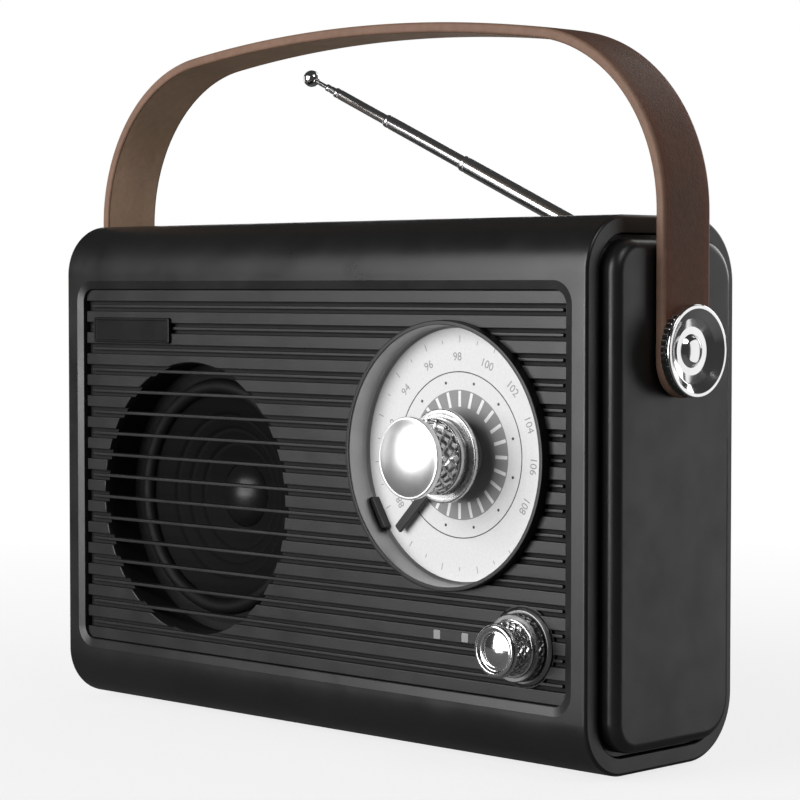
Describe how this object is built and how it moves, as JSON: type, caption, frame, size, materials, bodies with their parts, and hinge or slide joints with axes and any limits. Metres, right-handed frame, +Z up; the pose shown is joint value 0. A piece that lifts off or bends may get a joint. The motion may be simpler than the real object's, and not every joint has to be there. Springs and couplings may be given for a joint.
{
  "type": "portable radio",
  "caption": "Rounded black portable radio with a ribbed front, speaker, round tuning dial, volume knob, leather strap handle and telescopic antenna.",
  "frame": {"origin": "centre of the rubber base pad's underside, on the surface the radio stands on", "axes": "+X to the right as seen from the front, the front faces -Y, +Z up"},
  "size_m": [0.2416, 0.0877, 0.2086],
  "materials": {
    "case_black": "satin moulded plastic with a fine grain",
    "cap_black": "satin moulded plastic",
    "grille_black": "satin moulded plastic, fine flat bands",
    "badge_dark": "dark polished plate with no lettering",
    "light_clear": "milky clear lens",
    "bezel_black": "polished black",
    "liner_silver": "brushed silver",
    "dial_white": "white face with printed marks",
    "pointer_black": "satin black",
    "chrome": "polished chrome",
    "knurl_metal": "knurled metal",
    "steel": "plain steel",
    "brass": "plain brass",
    "leather_brown": "brown leather with a fine grain",
    "paper_black": "black pressed paper",
    "rubber_black": "black rubber",
    "magnet_grey": "dark grey sintered magnet",
    "board_green": "green lacquered board",
    "part_black": "black moulded electronic parts",
    "cell_blue": "printed sleeve",
    "ferrite": "dark grey ferrite",
    "copper": "enamelled copper wire"
  },
  "bodies": {
    "case": {"main_shell": "case_black", "side_cap_right": "cap_black", "side_cap_left": "cap_black", "base_pad": "rubber_black", "front_grille": "grille_black", "badge_plate": "badge_dark", "power_light": "light_clear", "charge_light": "light_clear", "dial_bezel": "bezel_black", "dial_liner": "liner_silver", "dial_plate": "dial_white", "dial_end_block": "pointer_black", "volume_base_ring": "knurl_metal", "tuning_pot": "steel", "volume_pot": "steel", "control_nuts": "steel", "speaker_basket": "steel", "speaker_surround": "rubber_black", "speaker_cone": "paper_black", "speaker_dust_cap": "paper_black", "speaker_magnet": "magnet_grey", "handle_bolt_right": "chrome", "handle_bolt_left": "chrome", "handle_spacers": "part_black", "handle_nuts": "steel", "rear_cover": "cap_black", "battery_cell": "cell_blue", "battery_contacts": "steel", "charging_socket": "steel", "headphone_socket": "part_black", "socket_board": "board_green", "circuit_board": "board_green", "board_parts": "part_black", "speaker_collar": "part_black", "ferrite_rod": "ferrite", "ferrite_coil": "copper", "inner_screws": "steel", "rear_cover_screws": "steel"},
    "handle": {"handle_strap": "leather_brown"},
    "tuning_knob": {"tuning_knob_flange": "liner_silver", "tuning_knob_barrel": "knurl_metal", "tuning_knob_cap": "chrome", "tuning_shaft": "brass", "dial_pointer": "pointer_black"},
    "volume_knob": {"volume_knob_skirt": "knurl_metal", "volume_knob_ring": "chrome", "volume_knob_barrel": "knurl_metal", "volume_knob_cap": "chrome", "volume_shaft": "brass"},
    "door": {"battery_door": "cap_black"},
    "antenna_swivel": {"antenna_turret": "chrome", "antenna_nut": "steel", "antenna_pin": "steel"},
    "antenna_base": {"antenna_hinge_block": "chrome", "antenna_section_1": "chrome"},
    "antenna_second": {"antenna_section_2": "chrome"},
    "antenna_third": {"antenna_section_3": "chrome"},
    "antenna_fourth": {"antenna_section_4": "chrome"},
    "antenna_fifth": {"antenna_section_5": "chrome", "antenna_tip": "chrome"}
  },
  "joints": [
    {"name": "handle_swing", "type": "hinge", "parent": "case", "child": "handle", "pos_m": [0, 0, 0.11465], "axis": [1, 0, 0], "range_deg": [-10, 90]},
    {"name": "tuning_turn", "type": "hinge", "parent": "case", "child": "tuning_knob", "pos_m": [0.0568, -0.0315, 0.0852], "axis": [0, 1, 0], "range_deg": [0, 270]},
    {"name": "volume_turn", "type": "hinge", "parent": "case", "child": "volume_knob", "pos_m": [0.0847, -0.0315, 0.0349], "axis": [0, 1, 0], "range_deg": [0, 280]},
    {"name": "battery_door_hinge", "type": "hinge", "parent": "case", "child": "door", "pos_m": [0.036, 0.0306, 0.0304], "axis": [-1, 0, 0], "range_deg": [0, 100]},
    {"name": "antenna_turn", "type": "hinge", "parent": "case", "child": "antenna_swivel", "pos_m": [0.095, 0.036, 0.1286], "axis": [0, 1, 0], "range_deg": [-23.7, 156.3]},
    {"name": "antenna_tilt", "type": "hinge", "parent": "antenna_swivel", "child": "antenna_base", "pos_m": [0.095, 0.036, 0.1286], "axis": [-0.4019, 0, -0.9157], "range_deg": [0, 90]},
    {"name": "antenna_slide_2", "type": "slide", "parent": "antenna_base", "child": "antenna_second", "axis": [-0.9157, 0, 0.4019], "range_m": [-0.0341, 0.0449]},
    {"name": "antenna_slide_3", "type": "slide", "parent": "antenna_second", "child": "antenna_third", "axis": [-0.9157, 0, 0.4019], "range_m": [-0.0231, 0.0519]},
    {"name": "antenna_slide_4", "type": "slide", "parent": "antenna_third", "child": "antenna_fourth", "axis": [-0.9157, 0, 0.4019], "range_m": [-0.0026, 0.0684]},
    {"name": "antenna_slide_5", "type": "slide", "parent": "antenna_fourth", "child": "antenna_fifth", "axis": [-0.9157, 0, 0.4019], "range_m": [-0.0048, 0.0625]}
  ]
}
